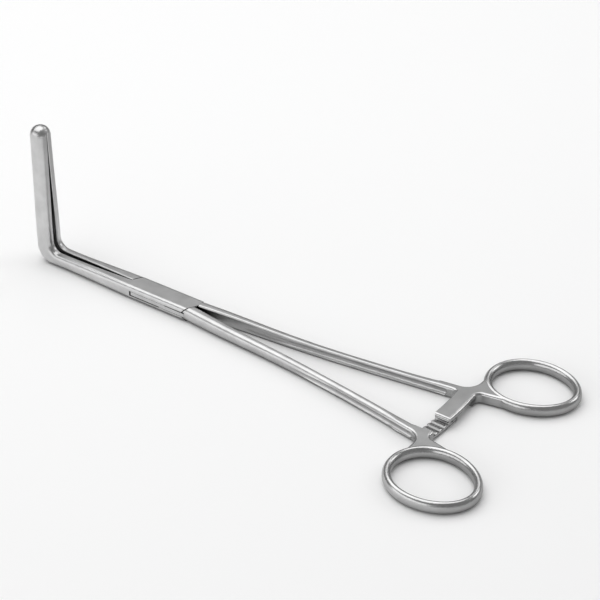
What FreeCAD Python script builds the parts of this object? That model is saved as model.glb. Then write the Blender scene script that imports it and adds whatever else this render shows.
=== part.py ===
import FreeCAD, Part
import math
import os

# Right-angled ring-handled clamp with a box lock, in millimetres.
# The origin lies on the rest plane straight below the pivot, +X runs to the finger rings, +Z is up.
# Two forgings: box_half carries the slotted box, tongue_half passes through its slot.
V = FreeCAD.Vector

# Box lock: its plan is a bar with both ends cut to a blunt point on the jaw plane
box_length = 32.1
box_side_length = 26.6
box_width = 9.9
box_thickness = 5.7
box_edge_radius = 1.6
# Box and plate stand proud of the bars that run into them by a hair
proud = 0.02
tongue_thickness = 1.6
tongue_clearance = 0.12
tongue_end_gap = 0.35
seam_gap = 0.3
seam_slant = 1.7
root_x = box_length / 2
corner_x = box_side_length / 2
half_width = box_width / 2
mid_z = box_thickness / 2

# Rivet, ground flush with both faces of the box
pin_diameter = 4.0
pin_flare = 0.35
pin_running_gap = 0.05

# Jaws, with heights of the flat part measured from the middle of the box
jaw_face_x = -56.3
jaw_back_x = -63.6
jaw_bar_top = 2.45
jaw_bar_bottom = -2.6
bend_inner_radius = 4.2
bend_outer_radius = 7.0
bend_steps = 6
jaw_dome_start = 53.0
jaw_dome_height = 3.7
jaw_dome_spread = 1.06
jaw_reach_at_bend = 4.4
jaw_reach_at_tip = 3.8
jaw_round_at_box = 1.8
jaw_round_at_bend = 2.1
jaw_round_upright = 2.6
jaw_round_at_tip = 3.0
jaw_inner_round = 0.45
jaw_gap_half = 0.95
tip_gap_half = 0.05
# Stations of the flat part: X, slant of the section, share of the way to the bend, share of the gap
jaw_bar_stations = (
    (-6.5, 0.0, 0.10, 0.12),
    (-root_x, 0.0, 0.00, 0.12),
    (-25.6, 0.0, 0.30, 0.50),
    (-35.2, 0.0, 0.65, 0.85),
    (-44.8, 0.6, 0.92, 1.00),
)
# Stations of the upright part: height above the middle of the box, share of the way to the tip
jaw_upright_stations = (
    (15.0, 0.00),
    (25.0, 0.30),
    (35.0, 0.60),
    (45.0, 0.86),
    (53.0, 1.00),
    (60.0, 1.00),
)

# Finger rings: centreline semi-axes, tilt of the long axis and the oval bar
ring_x = 144.1
ring_y = 33.0
ring_z = 2.45
ring_long = 16.4
ring_short = 13.85
ring_tilt = 7.35
ring_egg = -0.053
ring_bar_half_width = 1.56
ring_bar_half_height = 2.35
ring_path_points = 16

# Plate between shank, ring and ratchet arm
plate_thickness = 4.62
plate_edge_radius = 1.15
# How far the plate starts before the shank's end, and where its two sides leave the shank's sides
plate_start = 2.7
inner_corner_before_arm = 3.0
outer_corner_past_shank = 3.6
inner_corner_nudge = 0.1
outer_corner_nudge = 0.08
# Middle of each curved side, measured from where it leaves the shank
inner_bend_offset = (1.55, -0.40)
outer_bend_offset = (4.7, 2.35)
# Notch between arm and ring: its depth, and its middle as shares of the depth
notch_depth = 2.3
notch_bend = (0.28, 0.70)
# Where the plate meets the ring: degrees round the ring and distance outside its centreline
ring_touch_at = (258.5, 0.68)
waist_at = (208.5, 2.7)
ring_buried_at = (250, 228, 206, 192)

# Shanks, which end inside the plates
shank_end_x = ring_x - 25.1
shank_end_y = ring_y - 18.95
shank_root_y = half_width - 2.15
shank_inner_round = 0.13
shank_outer_round = 0.40
# Evenly spaced stations, the second at the box and the last but one at the shank's end:
# share of the way out from root_y to end_y, width, share of the way from the box's to the plate's thickness
shank_stations = (
    (-0.018, 4.00, 0.885),
    (0.000, 4.40, 0.000),
    (0.147, 3.80, 0.404),
    (0.249, 3.35, 0.788),
    (0.378, 3.10, 1.029),
    (0.560, 3.00, 1.125),
    (0.769, 3.05, 1.125),
    (1.000, 3.45, 1.000),
    (1.290, 4.20, 1.000),
)
flute_depth = 0.8
flute_radius = 1.6
flute_steps = 8
# Start, fade length and end of the flute on each side of a shank, as shares of its length
inner_flute = (0.174, 0.340, 1.005)
outer_flute = (0.466, 0.214, 1.045)

# Ratchet arms, bent round the pivot axis, and their saw teeth
ratchet_gap = 0.3
arm_radius = ring_x - 15.35
arm_width = 6.7
lower_arm_width = 6.0
arm_inner_radius = arm_radius - arm_width / 2
arm_outer_radius = arm_radius + arm_width / 2
arm_thickness = (plate_thickness - ratchet_gap) / 2
arm_outer_round = 0.46 * arm_thickness
arm_inner_round = 0.12 * arm_thickness
arm_root_y = shank_end_y - 1.05
arm_root_overlap = 1.0
# Past the arm's root the notch starts here
notch_start_y = arm_root_y + 1.2
# The plate's end before it is cut off, how far it stands out past the arm, and the slant of its cut
plate_end_spare = 2.0
plate_end_proud = 0.03
notch_proud = 0.07
plate_end_slant = 0.3
arm_tip_y = 3.4
tooth_height = 0.8
tooth_land = 0.3
tooth_pitch = 2.48
tooth_count = 6
first_tooth_y = -2.3

across = V(0, 1, 0)
upward = V(0, 0, 1)
round_pull = 0.5523


def blend(first, second, share):
    return first + (second - first) * share


def mirrored(shape):
    """The same shape on the other side of the jaw plane."""
    return shape.mirror(V(0, 0, 0), across)


def prism(points, low, high):
    """Straight prism over a plan outline given as (x, y) pairs."""
    corners = [V(x, y, low) for x, y in points]
    return Part.Face(Part.makePolygon(corners + corners[:1])).extrude(V(0, 0, high - low))


def rounded(start, corner, end):
    """Quarter round from start to end, drawn as a curve of degree three."""
    curve = Part.BezierCurve()
    curve.setPoles([start, start + (corner - start) * round_pull, end + (corner - end) * round_pull, end])
    return curve.toShape()


def bar_section(origin, out, rise, near, far, half, near_radius, far_radius):
    """Closed outline of a bar, with one radius on the side towards the other half and one on the outside."""
    corners = (
        (near, -half, near_radius),
        (far, -half, far_radius),
        (far, half, far_radius),
        (near, half, near_radius),
    )
    points = [origin + out * u + rise * v for u, v, _ in corners]
    edges = []
    for index, corner in enumerate(points):
        following = points[(index + 1) % 4]
        along = (following - corner).normalize()
        before = (points[index - 1] - corner).normalize()
        radius = corners[index][2]
        leave = corner + along * radius
        edges.append(rounded(corner + before * radius, corner, leave))
        edges.append(Part.makeLine(leave, following - along * corners[(index + 1) % 4][2]))
    return Part.Wire(edges)


# Jaws

def jaw_wire(inner, outer, reach, gap, rounding):
    """Section of the jaw bar between its inner and outer point in the jaw plane."""
    rise = inner - outer
    half = rise.Length / 2
    rise.normalize()
    return bar_section((inner + outer) * 0.5, across, rise, gap, reach, half, jaw_inner_round, rounding)


def jaw_wires():
    """Sections of the flat part, of the bend and of the upright part."""
    top = mid_z + jaw_bar_top
    bottom = mid_z + jaw_bar_bottom
    flat = []
    for x, slant, share, gap_share in jaw_bar_stations:
        inner = V(x + slant, 0, blend(box_thickness - proud, top, share))
        outer = V(x - slant, 0, blend(proud, bottom, share))
        reach = blend(half_width, jaw_reach_at_bend, share)
        rounding = blend(jaw_round_at_box, jaw_round_at_bend, share)
        flat.append(jaw_wire(inner, outer, reach, gap_share * jaw_gap_half, rounding))
    inner_centre = V(jaw_face_x + bend_inner_radius, 0, top + bend_inner_radius)
    outer_centre = V(jaw_back_x + bend_outer_radius, 0, bottom + bend_outer_radius)
    bend = []
    for step in range(bend_steps + 1):
        share = step / bend_steps
        angle = math.radians(90 * share)
        turn = V(-math.sin(angle), 0, -math.cos(angle))
        inner = inner_centre + turn * bend_inner_radius
        outer = outer_centre + turn * bend_outer_radius
        rounding = blend(jaw_round_at_bend, jaw_round_upright, share)
        bend.append(jaw_wire(inner, outer, jaw_reach_at_bend, jaw_gap_half, rounding))
    upright = []
    for height, share in jaw_upright_stations:
        inner = V(jaw_face_x, 0, mid_z + height)
        outer = V(jaw_back_x, 0, mid_z + height)
        reach = blend(jaw_reach_at_bend, jaw_reach_at_tip, share)
        gap = blend(jaw_gap_half, tip_gap_half, share)
        rounding = blend(jaw_round_upright, jaw_round_at_tip, share)
        upright.append(jaw_wire(inner, outer, reach, gap, rounding))
    return flat + [bend[0]], bend, [bend[-1]] + upright


def jaw():
    """Right-angled jaw on the +Y side, from inside the box to the domed tip."""
    flat, bend, upright = [Part.makeLoft(wires, True, False) for wires in jaw_wires()]
    bar = flat.fuse([bend, upright])
    # Everything above the dome's equator is cut away, except half an ellipsoid.
    middle = V((jaw_face_x + jaw_back_x) / 2, 0, mid_z + jaw_dome_start)
    half_depth = (jaw_face_x - jaw_back_x) / 2
    matrix = FreeCAD.Matrix()
    matrix.scale(half_depth * jaw_dome_spread, jaw_reach_at_tip * jaw_dome_spread, jaw_dome_height)
    dome = Part.makeSphere(1.0).transformGeometry(matrix)
    dome.translate(middle)
    above = Part.makeBox(20, 20, 20, middle - V(10, 10, 0)).cut(dome)
    own_side = Part.makeBox(80, 10, 80, V(-75, tip_gap_half, -5))
    return bar.cut(above).common(own_side)


# Shanks

def shank_rows():
    """X, centre offset, width and thickness at each station."""
    rows = []
    steps = len(shank_stations) - 3
    for index, (aside, width, thinning) in enumerate(shank_stations):
        x = blend(root_x, shank_end_x, (index - 1) / steps)
        centre = blend(shank_root_y, shank_end_y, aside)
        thickness = blend(box_thickness - 4 * proud, plate_thickness - 2 * proud, thinning)
        rows.append((x, centre, width, thickness))
    return rows


def shank_wire(x, centre, width, thickness):
    """Section of the shank, whose edges are as round as the plate's where they meet it."""
    origin = V(x, centre, proud + thickness / 2)
    inner = shank_inner_round * thickness
    outer = shank_outer_round * thickness
    if x == shank_end_x:
        inner = outer = plate_edge_radius
    return bar_section(origin, across, upward, -width / 2, width / 2, thickness / 2, inner, outer)


def shank():
    """Tapering bar on the +Y side with a level underside, from inside the box to the plate."""
    return Part.makeLoft([shank_wire(*row) for row in shank_rows()[:-1]], True, False)


def shank_side(x, side):
    """Y of the shank's inner (-1) or outer (1) side at x, drawn out straight past the shank's end."""
    (x_before, y_before, _, _), (_, _, width, _) = shank_rows()[-3:-1]
    slope = (shank_end_y - y_before) / (shank_end_x - x_before)
    return shank_end_y + slope * (x - shank_end_x) + side * width / 2


def flute(side, start, fade, end):
    """Round-bottomed groove along one side of the shank, deepening over the fade length, with a round end."""
    rows = shank_rows()
    edge = Part.BSplineCurve()
    edge.interpolate(
        Points=[V(x, centre + side * width / 2, 0) for x, centre, width, _ in rows],
        Parameters=[row[0] for row in rows])
    centres = []
    for step in range(flute_steps + 1):
        share = blend(start, end, step / flute_steps)
        x = blend(root_x, shank_end_x, share)
        depth = blend(-0.05, flute_depth, min(1.0, (share - start) / fade))
        centres.append(V(x, edge.value(x).y + side * (flute_radius - depth), plate_thickness / 2))
    circles = [Part.Wire(Part.makeCircle(flute_radius, point, V(1, 0, 0))) for point in centres]
    return Part.makeLoft(circles, True, False).fuse(Part.makeSphere(flute_radius, centres[-1]))


# Finger rings

def ring_point(degrees, outset=0.0):
    """Point of the ring's centreline, an oval slightly narrower at one end, or outset from it."""
    angle = math.radians(degrees)
    tilt = math.radians(ring_tilt)
    along = (ring_long + outset) * math.cos(angle)
    aside = (ring_short + outset) * math.sin(angle) * (1 + ring_egg * math.cos(angle))
    x = ring_x + along * math.cos(tilt) - aside * math.sin(tilt)
    y = ring_y + along * math.sin(tilt) + aside * math.cos(tilt)
    return V(x, y, ring_z)


def finger_ring():
    """Oval ring bar swept along the centreline."""
    path = Part.BSplineCurve()
    path.interpolate([ring_point(360 * step / ring_path_points) for step in range(ring_path_points)], True)
    start = path.value(path.FirstParameter)
    side = path.tangent(path.FirstParameter)[0].cross(upward)
    section = Part.Ellipse(start + upward * ring_bar_half_height, start + side * ring_bar_half_width, start)
    return Part.Wire(path.toShape()).makePipeShell([Part.Wire(section.toShape())], True, True)


# Plate and ratchet arms

def plate():
    """Flat-topped plate that joins shank, ring and ratchet arm."""
    def level(x, y):
        return V(x, y, 0)
    def on_arm(radius, y):
        return level(math.sqrt(radius ** 2 - y ** 2), y)
    start_x = shank_end_x - plate_start
    corner_x_inner = arm_inner_radius - inner_corner_before_arm
    corner_x_outer = shank_end_x + outer_corner_past_shank
    inner_start = level(start_x, shank_side(start_x, -1))
    inner_end = level(corner_x_inner, shank_side(corner_x_inner, -1) - inner_corner_nudge)
    inner_bend = inner_end + level(*inner_bend_offset)
    arm_near = on_arm(arm_inner_radius - 10 * plate_end_proud, arm_root_y - plate_end_spare)
    arm_far = on_arm(arm_outer_radius + plate_end_proud, arm_root_y - 0.3 * plate_end_spare)
    notch_start = on_arm(arm_outer_radius + notch_proud, notch_start_y)
    notch_middle = notch_start + level(notch_bend[0] * notch_depth, notch_bend[1] * notch_depth)
    notch_end = notch_start + level(notch_depth, notch_depth)
    ring_touch = level(*ring_point(*ring_touch_at)[:2])
    ring_inside = [level(*ring_point(degrees)[:2]) for degrees in ring_buried_at]
    waist = level(*ring_point(*waist_at)[:2])
    outer_end = level(corner_x_outer, shank_side(corner_x_outer, 1) + outer_corner_nudge)
    outer_bend = outer_end + level(*outer_bend_offset)
    outer_start = level(start_x, shank_side(start_x, 1))
    soft = [
        Part.makeLine(inner_start, inner_end),
        Part.Arc(inner_end, inner_bend, arm_near).toShape(),
        Part.makeLine(arm_far, notch_start),
        Part.Arc(notch_start, notch_middle, notch_end).toShape(),
        Part.makeLine(notch_end, ring_touch),
        Part.Arc(waist, outer_bend, outer_end).toShape(),
        Part.makeLine(outer_end, outer_start),
    ]
    buried = [ring_touch] + ring_inside + [waist]
    hidden = [Part.makeLine(buried[index], buried[index + 1]) for index in range(len(buried) - 1)]
    hidden.append(Part.makeLine(arm_near, arm_far))
    hidden.append(Part.makeLine(outer_start, inner_start))
    outline = Part.Wire(Part.__sortEdges__(soft + hidden))
    solid = Part.Face(outline).extrude(V(0, 0, plate_thickness))
    # Only the edges that stay in view are rounded.
    rims = []
    for edge in solid.Edges:
        for side in soft:
            offset = side.CenterOfMass - edge.CenterOfMass
            if edge.BoundBox.ZLength < 1e-6 and math.hypot(offset.x, offset.y) < 1e-3:
                rims.append(edge)
    # The plate stops at the arm's root, where the arm goes on at half its thickness.
    step = (
        (inner_end.x + plate_end_slant, inner_end.y),
        (arm_near.x, arm_root_y + plate_end_slant),
        (arm_outer_radius + 1, arm_root_y),
        (arm_outer_radius + 1, arm_near.y - 1),
        (inner_end.x + plate_end_slant, arm_near.y - 1),
    )
    return solid.makeFillet(plate_edge_radius, rims).cut(prism(step, 0, plate_thickness))


def arm_blank(low, width):
    """Arm bent round the pivot axis, from inside the plate on the +Y side to its tip beyond the jaw plane."""
    root_angle = math.degrees(math.asin((arm_root_y + arm_root_overlap) / arm_outer_radius))
    tip_angle = -math.degrees(math.asin(arm_tip_y / arm_inner_radius))
    origin = V(arm_inner_radius, 0, low + arm_thickness / 2)
    outline = bar_section(origin, V(1, 0, 0), upward, 0, width, arm_thickness / 2,
                          arm_inner_round, arm_outer_round)
    face = Part.Face(outline)
    face.rotate(V(0, 0, 0), upward, tip_angle)
    bar = face.revolve(V(0, 0, 0), upward, root_angle - tip_angle)
    # The tip is rounded off all round.
    length = arm_tip_y + arm_root_y + 3 * arm_root_overlap
    spare = width / 2
    nose = Part.makeBox(width, length, arm_thickness, V(arm_inner_radius, -arm_tip_y, low))
    rim = [edge for edge in nose.Edges if edge.CenterOfMass.y < 0.001 - arm_tip_y]
    nose = nose.makeFillet(arm_outer_round, rim)
    behind = V(arm_inner_radius - spare, arm_outer_round - arm_tip_y, low)
    rest = Part.makeBox(width + 2 * spare, length, arm_thickness, behind)
    return bar.common(nose.fuse(rest))


def tooth_space(index, crest, direction):
    """Saw-tooth space across the arm: steep towards the arm's root, a ramp towards its tip."""
    outside = crest + direction * tooth_height
    floor = crest - direction * tooth_height
    ramp = tooth_pitch - tooth_land
    start_x = arm_inner_radius - 2
    corners = [
        V(start_x, 0, outside),
        V(start_x, 0, floor),
        V(start_x, ramp, crest),
        V(start_x, ramp, outside),
    ]
    face = Part.Face(Part.makePolygon(corners + corners[:1]))
    space = face.extrude(V(arm_width + 4, 0, 0))
    space.rotate(V(0, 0, 0), upward, math.degrees((first_tooth_y + index * tooth_pitch) / arm_radius))
    return space


def ratchet_arm(upper):
    """Upper arm with teeth underneath, or lower arm with teeth on top."""
    if upper:
        width = arm_width
        low = crest = plate_thickness - arm_thickness
        direction = -1
    else:
        width = lower_arm_width
        low = 0.0
        crest = arm_thickness
        direction = 1
    return arm_blank(low, width).cut([tooth_space(index, crest, direction) for index in range(tooth_count)])


# Box lock

def seam_outline(grow, shift, reach):
    """Plan of the box plates: grow widens it, shift draws both ends towards the pivot."""
    root = root_x + grow - shift
    corner = root - (root_x - corner_x) * reach / half_width
    return ((-root, 0), (-corner, reach), (root, reach), (root, 0), (corner, -reach), (-root, -reach))


def seam_zone(grow, reach):
    """Room of the two box plates, whose ends slant inwards towards the tongue."""
    halves = []
    for face_z in (0.0, box_thickness):
        wires = []
        for z, shift in ((face_z, 0.0), (mid_z, seam_slant)):
            corners = [V(x, y, z) for x, y in seam_outline(grow, shift, reach)]
            wires.append(Part.makePolygon(corners + corners[:1]))
        halves.append(Part.makeLoft(wires, True, True))
    return halves[0].fuse(halves[1])


def box_block():
    outline = bar_section(V(-root_x, 0, mid_z), across, upward, -half_width, half_width, mid_z,
                          box_edge_radius, box_edge_radius)
    block = Part.Face(outline).extrude(V(2 * root_x, 0, 0))
    return block.common(seam_zone(0.0, half_width + 1))


def slot():
    """Through slot for the tongue, open at both sides and walled at the box half's own jaw and shank."""
    reach = half_width + 1
    root = root_x + tongue_end_gap
    corner = root - (root_x - corner_x) * reach / half_width
    far = root_x + 6
    outline = (
        (-corner, -reach), (far, -reach), (far, 0), (root, 0),
        (corner, reach), (-far, reach), (-far, 0), (-root, 0),
    )
    half = tongue_thickness / 2 + tongue_clearance
    return prism(outline, mid_z - half, mid_z + half)


def tongue():
    """Flat middle of the tongue half, flush with the sides of the closed box."""
    outline = (
        (-root_x, 0), (-corner_x, half_width), (corner_x, half_width),
        (root_x, 0), (corner_x, -half_width), (-corner_x, -half_width),
    )
    return prism(outline, mid_z - tongue_thickness / 2, mid_z + tongue_thickness / 2)


def rivet():
    """Pivot that widens towards both faces of the box."""
    radius = pin_diameter / 2
    shaft = Part.makeCylinder(radius, box_thickness)
    lower = Part.makeCone(radius + pin_flare, radius, pin_flare)
    upper = Part.makeCone(radius, radius + pin_flare, pin_flare, V(0, 0, box_thickness - pin_flare))
    return shaft.fuse([lower, upper])


def handle():
    """Shank with its flutes, plate and finger ring on the +Y side."""
    solid = shank().fuse([plate(), finger_ring()])
    return solid.cut(flute(-1, *inner_flute)).cut(flute(1, *outer_flute))


def main():
    os.makedirs("parts", exist_ok=True)
    far_handle = handle()
    far_jaw = jaw()

    box_half = box_block().fuse([mirrored(far_jaw), far_handle, ratchet_arm(True)])
    box_half = box_half.cut(slot()).cut(rivet())

    tongue_half = far_jaw.fuse([mirrored(far_handle), mirrored(ratchet_arm(False))])
    tongue_half = tongue_half.cut(seam_zone(seam_gap, half_width + 3))
    bore = Part.makeCylinder(pin_diameter / 2 + pin_running_gap, box_thickness)
    tongue_half = tongue_half.fuse(tongue()).cut(bore)

    nodes = {"box_half": box_half, "tongue_half": tongue_half, "pivot_pin": rivet()}
    for name, shape in nodes.items():
        solid = shape.removeSplitter()
        if len(solid.Solids) == 1:
            solid = solid.Solids[0]
        print(name, len(shape.Solids), round(solid.Volume, 1), solid.isValid(), len(solid.Faces))
        solid.exportStep(os.path.join("parts", name + ".step"))


main()
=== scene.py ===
import bpy
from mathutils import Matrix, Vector

# Right-angled ring-handled clamp: finishes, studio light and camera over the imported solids, in metres.

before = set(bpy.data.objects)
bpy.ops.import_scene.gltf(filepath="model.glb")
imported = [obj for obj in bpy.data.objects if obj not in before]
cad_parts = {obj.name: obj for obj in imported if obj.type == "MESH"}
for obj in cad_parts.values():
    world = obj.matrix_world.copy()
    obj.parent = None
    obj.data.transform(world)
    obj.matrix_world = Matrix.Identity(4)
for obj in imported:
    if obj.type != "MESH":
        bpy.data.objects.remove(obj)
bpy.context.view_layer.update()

# Camera, from the fit to the photograph's outlines
CAMERA_AT = Vector((0.39252, -0.44563, 0.37911))
CAMERA_AIM = Vector((0.04251, 0.03024, 0.00285))
CAMERA_LENS = 109.02
CAMERA_NEAR = 0.01
CAMERA_FAR = 20.0

# Lamps: name, place, point that it faces, width, height and power in watts
SOFTBOXES = (
    ("overhead_softbox", (-0.30, 0.08, 1.0), (0.05, 0.0, 0.0), 1.25, 1.25, 7.5),
    ("front_softbox", (-0.50, -1.25, 0.42), (0.0, 0.0, 0.0), 2.2, 0.75, 6.0),
    ("rear_right_softbox", (0.75, 0.95, 0.75), (0.05, 0.0, 0.0), 0.6, 0.6, 1.9),
    ("rear_left_softbox", (-0.03, 1.0, 0.80), (0.1, 0.0, 0.0), 0.5, 0.4, 0.8),
)

# Strength of the surroundings as the floor, the steel and the camera meet them, on the sky's own 0.8 grey
SKY_FOR_DIFFUSE = 0.55
SKY_FOR_GLOSS = 0.30
SKY_FOR_CAMERA = 1.17

# Floor, a hair below the instrument so that the two never share a plane
FLOOR_Z = -0.00002
FLOOR_REACH = 3.0
FLOOR_TONE = 0.93
# Far from the instrument the camera sees plain white, so that low views have no grey horizon
FAR_WHITE = 0.93
FAR_FROM = 0.40
FAR_TO = 0.90
# What the steel mirrors of the floor: full in front and on the left, dimmer behind and on the right
FLOOR_GLOSS_DIRECTION = (0.5, 1.0, 0.0)
FLOOR_GLOSS_FROM = -0.02
FLOOR_GLOSS_TO = 0.05
FLOOR_GLOSS_FAR = 0.56

# Steel: matte level faces, bright edges and sides
FACE_TONE = (0.50, 0.50, 0.50)
EDGE_TONE = (0.60, 0.60, 0.60)
FACE_ROUGHNESS = 0.38
EDGE_ROUGHNESS = 0.31
# How upright a face's normal is where it starts to count as level, and where it fully does
LEVEL_FROM = 0.965
LEVEL_TO = 0.998

# Grain and marks: noise scales and details, the stretch of the marks along X, and the factors that noise
# between the low and the high value turns into
GRAIN_SCALE = 5200.0
CLOUD_SCALE = 160.0
MARK_SCALE = 900.0
GRAIN_DETAIL = 3.0
CLOUD_DETAIL = 2.0
MARK_DETAIL = 2.0
MARK_STRETCH = (0.06, 1.0, 1.0)
NOISE_LOW = 0.3
NOISE_HIGH = 0.7
CLOUD_TONES = (0.89, 1.05)
MARK_ROUGHNESS = (0.96, 1.05)
BUMP_HEIGHT = 0.00003
BUMP_STRENGTH = 0.10

# The finger rings are polished brighter and smoother than the shanks. The change runs over a stretch of X.
# The marks mustn't carry the rings' roughness across 0.27, because renders then show sparkling grain.
RING_ROUGHNESS = 0.25
RING_BUMP_STRENGTH = 0.02
RING_POLISH_FROM = 0.112
RING_POLISH_TO = 0.128

# Painted shade: the base colour darkens in crevices, where the surroundings close in. Each pair says how open
# a spot is that counts as closed, and as fully open.
# The rings' pair is lower, so that the floor close by doesn't darken them. One gives way to the other along
# X.
CREVICE_REACH = 0.0035
CREVICE_SAMPLES = 16
CREVICE_PAINTED_SHADE = 0.04
JAW_CREVICE = (0.24, 0.62)
RING_CREVICE = (0.08, 0.36)
CREVICE_CHANGE_FROM = 0.050
CREVICE_CHANGE_TO = 0.080

# Seams on the flanks of the box lock: ranges along X on the +Y flank, mirrored on the other, and along Z
TONGUE_END_SEAM = ((0.01315, 0.01382), (0.00195, 0.00380))
LOWER_SEAM = ((-0.00100, 0.01370), (0.00182, 0.00214))
UPPER_SEAM = ((-0.01330, -0.00400), (0.00358, 0.00384))
FLANK_FROM = 0.0042
FLANK_TO = 0.0045
# Slanted seam on top, where the far jaw's root meets the box: its X at Y = 0, its slope and its range along Y
ROOT_SEAM_X = (-0.01642, -0.01598)
ROOT_SEAM_SLOPE = 0.5556
ROOT_SEAM_Y = (0.0003, 0.0047)
ROOT_SEAM_STRENGTH = 0.90
TOP_FROM = 0.0040
TOP_TO = 0.0045
SEAM_SOFT = 0.00010
SEAM_TONE = 0.04


# Node helpers

def new_material(name):
    """Empty node material, with its output node and its shader."""
    material = bpy.data.materials.new(name)
    material.use_nodes = True
    nodes = material.node_tree.nodes
    nodes.clear()
    output = nodes.new("ShaderNodeOutputMaterial")
    shader = nodes.new("ShaderNodeBsdfPrincipled")
    material.node_tree.links.new(shader.outputs["BSDF"], output.inputs["Surface"])
    return material, output, shader


def group_with(name, inputs, outputs):
    """New shader group with named sockets, given as (name, socket type) pairs, and its two end nodes."""
    group = bpy.data.node_groups.new(name, "ShaderNodeTree")
    for socket, kind in inputs:
        group.interface.new_socket(socket, in_out="INPUT", socket_type=kind)
    for socket, kind in outputs:
        group.interface.new_socket(socket, in_out="OUTPUT", socket_type=kind)
    return group, group.nodes.new("NodeGroupInput"), group.nodes.new("NodeGroupOutput")


def place_group(tree, group, links=(), values=()):
    """Group node with some inputs linked and others set."""
    node = tree.nodes.new("ShaderNodeGroup")
    node.node_tree = group
    for name, socket in links:
        tree.links.new(socket, node.inputs[name])
    for name, number in values:
        node.inputs[name].default_value = number
    return node


def map_range(tree, value, low, high, to_low, to_high):
    """Clamped Map Range of an output socket. Each limit is a number or another output socket."""
    node = tree.nodes.new("ShaderNodeMapRange")
    node.clamp = True
    tree.links.new(value, node.inputs["Value"])
    for name, limit in (("From Min", low), ("From Max", high), ("To Min", to_low), ("To Max", to_high)):
        if isinstance(limit, bpy.types.NodeSocket):
            tree.links.new(limit, node.inputs[name])
        else:
            node.inputs[name].default_value = limit
    return node.outputs["Result"]


def math_of(tree, operation, first, second):
    """Math node of two output sockets."""
    node = tree.nodes.new("ShaderNodeMath")
    node.operation = operation
    tree.links.new(first, node.inputs[0])
    tree.links.new(second, node.inputs[1])
    return node.outputs["Value"]


def mix_values(tree, share, first, second):
    """Mix of two values by a share. The first and second are numbers or output sockets."""
    node = tree.nodes.new("ShaderNodeMix")
    tree.links.new(share, node.inputs["Factor"])
    for name, value in (("A", first), ("B", second)):
        if isinstance(value, bpy.types.NodeSocket):
            tree.links.new(value, node.inputs[name])
        else:
            node.inputs[name].default_value = value
    return node.outputs["Result"]


def window(tree, value, limits):
    """1 between two limits and 0 outside them, with soft ends."""
    low, high = limits
    rise = map_range(tree, value, low - SEAM_SOFT, low, 0.0, 1.0)
    fall = map_range(tree, value, high, high + SEAM_SOFT, 1.0, 0.0)
    return math_of(tree, "MULTIPLY", rise, fall)


def separate(tree, vector):
    """The X, Y and Z outputs of a vector."""
    node = tree.nodes.new("ShaderNodeSeparateXYZ")
    tree.links.new(vector, node.inputs["Vector"])
    return node.outputs["X"], node.outputs["Y"], node.outputs["Z"]


# Shader groups

def blasted_grain_group():
    """Fine matte grain of a bead-blasted face: a height for bump and a slow change of tone."""
    group, start, end = group_with(
        "blasted_grain",
        [
            ("Position", "NodeSocketVector"),
            ("Grain Scale", "NodeSocketFloat"),
            ("Cloud Scale", "NodeSocketFloat"),
        ],
        [("Height", "NodeSocketFloat"), ("Cloud", "NodeSocketFloat")])
    grain = group.nodes.new("ShaderNodeTexNoise")
    grain.inputs["Detail"].default_value = GRAIN_DETAIL
    cloud = group.nodes.new("ShaderNodeTexNoise")
    cloud.inputs["Detail"].default_value = CLOUD_DETAIL
    group.links.new(start.outputs["Position"], grain.inputs["Vector"])
    group.links.new(start.outputs["Grain Scale"], grain.inputs["Scale"])
    group.links.new(start.outputs["Position"], cloud.inputs["Vector"])
    group.links.new(start.outputs["Cloud Scale"], cloud.inputs["Scale"])
    group.links.new(grain.outputs["Fac"], end.inputs["Height"])
    group.links.new(cloud.outputs["Fac"], end.inputs["Cloud"])
    return group


def polish_marks_group():
    """Long faint polishing marks: noise drawn out along X."""
    group, start, end = group_with(
        "polish_marks",
        [("Position", "NodeSocketVector"), ("Scale", "NodeSocketFloat")],
        [("Marks", "NodeSocketFloat")])
    mapping = group.nodes.new("ShaderNodeMapping")
    mapping.inputs["Scale"].default_value = MARK_STRETCH
    marks = group.nodes.new("ShaderNodeTexNoise")
    marks.inputs["Detail"].default_value = MARK_DETAIL
    group.links.new(start.outputs["Position"], mapping.inputs["Vector"])
    group.links.new(mapping.outputs["Vector"], marks.inputs["Vector"])
    group.links.new(start.outputs["Scale"], marks.inputs["Scale"])
    group.links.new(marks.outputs["Fac"], end.inputs["Marks"])
    return group


def level_face_group():
    """Mask of the level faces: 1 where the surface looks up or down, 0 on rounded edges and sides."""
    group, start, end = group_with(
        "level_faces",
        [("Normal", "NodeSocketVector"), ("From", "NodeSocketFloat"), ("To", "NodeSocketFloat")],
        [("Mask", "NodeSocketFloat")])
    upright = group.nodes.new("ShaderNodeMath")
    upright.operation = "ABSOLUTE"
    group.links.new(separate(group, start.outputs["Normal"])[2], upright.inputs[0])
    mask = map_range(
        group, upright.outputs["Value"], start.outputs["From"], start.outputs["To"], 0.0, 1.0)
    mask.node.interpolation_type = "SMOOTHSTEP"
    group.links.new(mask, end.inputs["Mask"])
    return group


def flank_seams(tree, x, y, z):
    """Mask of the seams round the tongue's end on both flanks of the box lock, alike after a half turn."""
    side = tree.nodes.new("ShaderNodeMath")
    side.operation = "SIGN"
    tree.links.new(y, side.inputs[0])
    along = math_of(tree, "MULTIPLY", x, side.outputs["Value"])
    from_middle = math_of(tree, "MULTIPLY", y, side.outputs["Value"])
    lines = [
        math_of(tree, "MULTIPLY", window(tree, along, x_range), window(tree, z, z_range))
        for x_range, z_range in (TONGUE_END_SEAM, LOWER_SEAM, UPPER_SEAM)
    ]
    seams = lines[0]
    for line in lines[1:]:
        seams = math_of(tree, "MAXIMUM", seams, line)
    flank = map_range(tree, from_middle, FLANK_FROM, FLANK_TO, 0.0, 1.0)
    return math_of(tree, "MULTIPLY", seams, flank)


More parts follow.
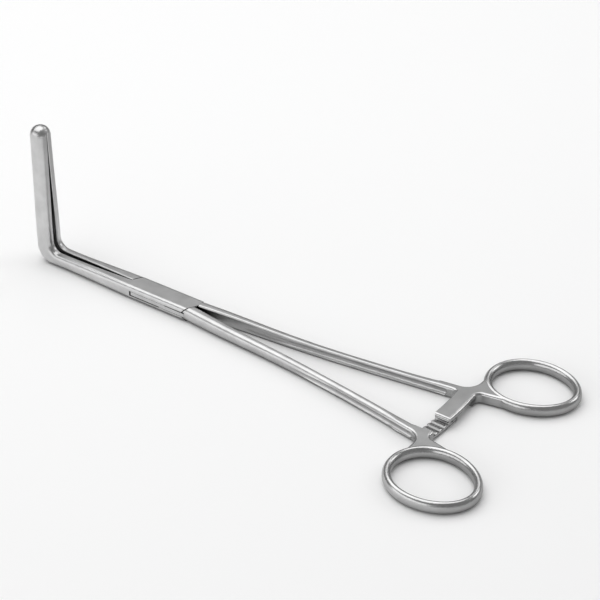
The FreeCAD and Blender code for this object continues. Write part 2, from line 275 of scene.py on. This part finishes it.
def root_seam(tree, x, y, z):
    """Mask of the slanted seam between the far jaw's root and the top of the box."""
    slanted = tree.nodes.new("ShaderNodeMath")
    slanted.operation = "MULTIPLY_ADD"
    tree.links.new(y, slanted.inputs[0])
    slanted.inputs[1].default_value = -ROOT_SEAM_SLOPE
    tree.links.new(x, slanted.inputs[2])
    line = math_of(
        tree, "MULTIPLY",
        window(tree, slanted.outputs["Value"], ROOT_SEAM_X),
        window(tree, y, ROOT_SEAM_Y))
    top = map_range(tree, z, TOP_FROM, TOP_TO, 0.0, ROOT_SEAM_STRENGTH)
    return math_of(tree, "MULTIPLY", line, top)


def seam_lines_group():
    """Mask of the dark seams of the box lock, which are narrower than a pixel in the solids."""
    group, start, end = group_with(
        "seam_lines", [("Position", "NodeSocketVector")], [("Mask", "NodeSocketFloat")])
    x, y, z = separate(group, start.outputs["Position"])
    mask = math_of(group, "MAXIMUM", flank_seams(group, x, y, z), root_seam(group, x, y, z))
    group.links.new(mask, end.inputs["Mask"])
    return group


GRAIN = blasted_grain_group()
MARKS = polish_marks_group()
LEVEL = level_face_group()
SEAMS = seam_lines_group()


# Materials

def painted_crevice_shade(tree, x):
    """Painted shade: a tone factor that falls in narrow places, soon near the jaws, only in deep corners near
    the rings.
    """
    nearby = tree.nodes.new("ShaderNodeAmbientOcclusion")
    nearby.samples = CREVICE_SAMPLES
    nearby.inputs["Distance"].default_value = CREVICE_REACH
    closed, opened = (
        map_range(tree, x, CREVICE_CHANGE_FROM, CREVICE_CHANGE_TO, at_jaws, at_rings)
        for at_jaws, at_rings in zip(JAW_CREVICE, RING_CREVICE)
    )
    return map_range(tree, nearby.outputs["AO"], closed, opened, CREVICE_PAINTED_SHADE, 1.0)


def instrument_steel(name):
    """Surgical steel: matte blasted level faces, bright polished edges, sides and finger rings."""
    material, _, shader = new_material(name)
    tree = material.node_tree
    place = tree.nodes.new("ShaderNodeTexCoord")
    position = place.outputs["Object"]
    x = separate(tree, position)[0]
    level = place_group(
        tree, LEVEL, [("Normal", place.outputs["Normal"])], [("From", LEVEL_FROM), ("To", LEVEL_TO)])
    level_mask = level.outputs["Mask"]
    grain = place_group(
        tree, GRAIN, [("Position", position)], [("Grain Scale", GRAIN_SCALE), ("Cloud Scale", CLOUD_SCALE)])
    marks = place_group(tree, MARKS, [("Position", position)], [("Scale", MARK_SCALE)])
    seams = place_group(tree, SEAMS, [("Position", position)])

    tone = tree.nodes.new("ShaderNodeMix")
    tone.data_type = "RGBA"
    tone.inputs["A"].default_value = (*EDGE_TONE, 1.0)
    tone.inputs["B"].default_value = (*FACE_TONE, 1.0)
    tree.links.new(level_mask, tone.inputs["Factor"])
    cloud = map_range(tree, grain.outputs["Cloud"], NOISE_LOW, NOISE_HIGH, *CLOUD_TONES)
    seam = map_range(tree, seams.outputs["Mask"], 0.0, 1.0, 1.0, SEAM_TONE)
    # The base colour takes random cloudy tone, dark seam lines and painted crevice shade.
    shade = math_of(tree, "MULTIPLY", math_of(tree, "MULTIPLY", cloud, painted_crevice_shade(tree, x)), seam)
    shaded = tree.nodes.new("ShaderNodeVectorMath")
    shaded.operation = "SCALE"
    tree.links.new(tone.outputs["Result"], shaded.inputs[0])
    tree.links.new(shade, shaded.inputs["Scale"])
    tree.links.new(shaded.outputs["Vector"], shader.inputs["Base Color"])

    polish = map_range(tree, x, RING_POLISH_FROM, RING_POLISH_TO, EDGE_ROUGHNESS, RING_ROUGHNESS)
    streaks = map_range(tree, marks.outputs["Marks"], NOISE_LOW, NOISE_HIGH, *MARK_ROUGHNESS)
    edge_roughness = math_of(tree, "MULTIPLY", polish, streaks)
    tree.links.new(mix_values(tree, level_mask, edge_roughness, FACE_ROUGHNESS), shader.inputs["Roughness"])

    bump = tree.nodes.new("ShaderNodeBump")
    bump.inputs["Distance"].default_value = BUMP_HEIGHT
    strength = map_range(tree, x, RING_POLISH_FROM, RING_POLISH_TO, BUMP_STRENGTH, RING_BUMP_STRENGTH)
    height = mix_values(tree, level_mask, marks.outputs["Marks"], grain.outputs["Height"])
    tree.links.new(strength, bump.inputs["Strength"])
    tree.links.new(height, bump.inputs["Height"])
    tree.links.new(bump.outputs["Normal"], shader.inputs["Normal"])
    shader.inputs["Metallic"].default_value = 1.0
    return material


def floor_paper():
    """White sweep. The steel mirrors it dimmer behind, and the camera sees it plain white far off."""
    material, output, shader = new_material("white_sweep")
    tree = material.node_tree
    place = tree.nodes.new("ShaderNodeTexCoord")
    path = tree.nodes.new("ShaderNodeLightPath")
    back = tree.nodes.new("ShaderNodeVectorMath")
    back.operation = "DOT_PRODUCT"
    back.inputs[1].default_value = FLOOR_GLOSS_DIRECTION
    tree.links.new(place.outputs["Object"], back.inputs[0])
    mirrored = map_range(
        tree, back.outputs["Value"], FLOOR_GLOSS_FROM, FLOOR_GLOSS_TO,
        FLOOR_TONE, FLOOR_TONE * FLOOR_GLOSS_FAR)
    seen = mix_values(tree, path.outputs["Is Glossy Ray"], FLOOR_TONE, mirrored)
    tree.links.new(seen, shader.inputs["Base Color"])
    shader.inputs["Roughness"].default_value = 1.0
    shader.inputs["Specular IOR Level"].default_value = 0.0

    away = tree.nodes.new("ShaderNodeVectorMath")
    away.operation = "LENGTH"
    tree.links.new(place.outputs["Object"], away.inputs[0])
    far = map_range(tree, away.outputs["Value"], FAR_FROM, FAR_TO, 0.0, 1.0)
    white = tree.nodes.new("ShaderNodeEmission")
    white.inputs["Color"].default_value = (FAR_WHITE, FAR_WHITE, FAR_WHITE, 1.0)
    surface = tree.nodes.new("ShaderNodeMixShader")
    tree.links.new(math_of(tree, "MULTIPLY", far, path.outputs["Is Camera Ray"]), surface.inputs["Fac"])
    tree.links.new(shader.outputs["BSDF"], surface.inputs[1])
    tree.links.new(white.outputs["Emission"], surface.inputs[2])
    tree.links.new(surface.outputs["Shader"], output.inputs["Surface"])
    return material


# Pieces

def finish_node(node, material):
    """Gives every material slot of a CAD node the finish."""
    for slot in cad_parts[node].material_slots:
        slot.material = material


satin_steel = instrument_steel("satin_steel_finish")
finish_node("box_half", satin_steel)
finish_node("tongue_half", satin_steel)
finish_node("pivot_pin", instrument_steel("pivot_pin_finish"))


# Floor, light and camera

def add_floor():
    """Level square under the instrument."""
    corners = [
        (FLOOR_REACH * side_x, FLOOR_REACH * side_y, FLOOR_Z)
        for side_x, side_y in ((-1, -1), (1, -1), (1, 1), (-1, 1))
    ]
    mesh = bpy.data.meshes.new("sweep")
    mesh.from_pydata(corners, [], [(0, 1, 2, 3)])
    mesh.materials.append(floor_paper())
    floor = bpy.data.objects.new("sweep", mesh)
    bpy.context.scene.collection.objects.link(floor)


def add_softbox(name, at, aim, width, height, power):
    """Rectangular lamp at a place, turned towards a point."""
    lamp = bpy.data.lights.new(name, "AREA")
    lamp.shape = "RECTANGLE"
    lamp.size = width
    lamp.size_y = height
    lamp.energy = power
    item = bpy.data.objects.new(name, lamp)
    item.location = at
    item.rotation_euler = (Vector(aim) - Vector(at)).to_track_quat("-Z", "Y").to_euler()
    item.visible_camera = False
    bpy.context.scene.collection.objects.link(item)


def add_sky():
    """Plain surroundings: darker where the steel mirrors them, white where the camera meets them."""
    world = bpy.data.worlds.new("studio")
    world.use_nodes = True
    tree = world.node_tree
    tree.nodes.clear()
    output = tree.nodes.new("ShaderNodeOutputWorld")
    sky = tree.nodes.new("ShaderNodeBackground")
    path = tree.nodes.new("ShaderNodeLightPath")
    unseen = map_range(tree, path.outputs["Is Glossy Ray"], 0.0, 1.0, SKY_FOR_DIFFUSE, SKY_FOR_GLOSS)
    strength = map_range(tree, path.outputs["Is Camera Ray"], 0.0, 1.0, unseen, SKY_FOR_CAMERA)
    tree.links.new(strength, sky.inputs["Strength"])
    tree.links.new(sky.outputs["Background"], output.inputs["Surface"])
    bpy.context.scene.world = world


def add_camera():
    """Camera at the photograph's angle."""
    lens = bpy.data.cameras.new("camera")
    lens.lens = CAMERA_LENS
    lens.clip_start = CAMERA_NEAR
    lens.clip_end = CAMERA_FAR
    camera = bpy.data.objects.new("camera", lens)
    camera.location = CAMERA_AT
    camera.rotation_mode = "QUATERNION"
    camera.rotation_quaternion = (CAMERA_AIM - CAMERA_AT).to_track_quat("-Z", "Y")
    bpy.context.scene.collection.objects.link(camera)
    bpy.context.scene.camera = camera


add_floor()
for softbox in SOFTBOXES:
    add_softbox(*softbox)
add_sky()
add_camera()
bpy.context.scene.view_settings.view_transform = "Standard"
